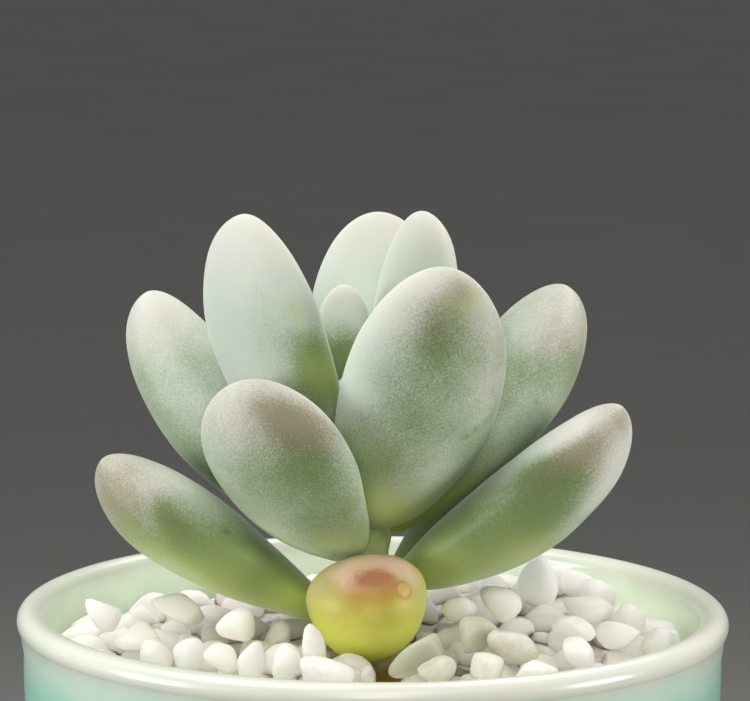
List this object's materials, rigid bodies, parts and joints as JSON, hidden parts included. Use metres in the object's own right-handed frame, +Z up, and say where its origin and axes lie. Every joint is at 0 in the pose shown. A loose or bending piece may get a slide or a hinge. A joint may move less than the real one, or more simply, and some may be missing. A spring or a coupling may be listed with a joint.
{
  "type": "potted moonstones",
  "caption": "Moonstones: a rosette of plump bloom-covered leaves on a short stem, planted in a plain round glazed pot whose soil is covered with white pebbles.",
  "frame": {"origin": "middle of the pot's foot, on the surface that the pot stands on", "axes": "+Z up along the pot's axis; -Y is the front, from which the picture is taken, with the small old leaf; +X is to the right of the front"},
  "size_m": [0.08, 0.08, 0.1174],
  "materials": {
    "mint_glaze": "glossy mint-green glaze, cream at the lip",
    "soil": "dark crumbly potting soil",
    "white_pebble": "smooth matte white stone",
    "stem": "matte pale green with leaf scars",
    "old_leaf": "yellow-green with a pink tip",
    "leaf_bloom": "powdery blue-green bloom over green"
  },
  "bodies": {
    "root": {"pot": "mint_glaze", "soil": "soil", "gravel": "white_pebble", "stem": "stem", "leaf_01": "old_leaf", "leaf_02": "leaf_bloom", "leaf_03": "leaf_bloom", "leaf_04": "leaf_bloom", "leaf_05": "leaf_bloom", "leaf_06": "leaf_bloom", "leaf_07": "leaf_bloom", "leaf_08": "leaf_bloom", "leaf_09": "leaf_bloom", "leaf_10": "leaf_bloom", "leaf_11": "leaf_bloom", "leaf_12": "leaf_bloom", "leaf_13": "leaf_bloom", "leaf_14": "leaf_bloom", "leaf_15": "leaf_bloom", "leaf_16": "leaf_bloom", "leaf_17": "leaf_bloom", "leaf_18": "leaf_bloom"}
  },
  "joints": []
}
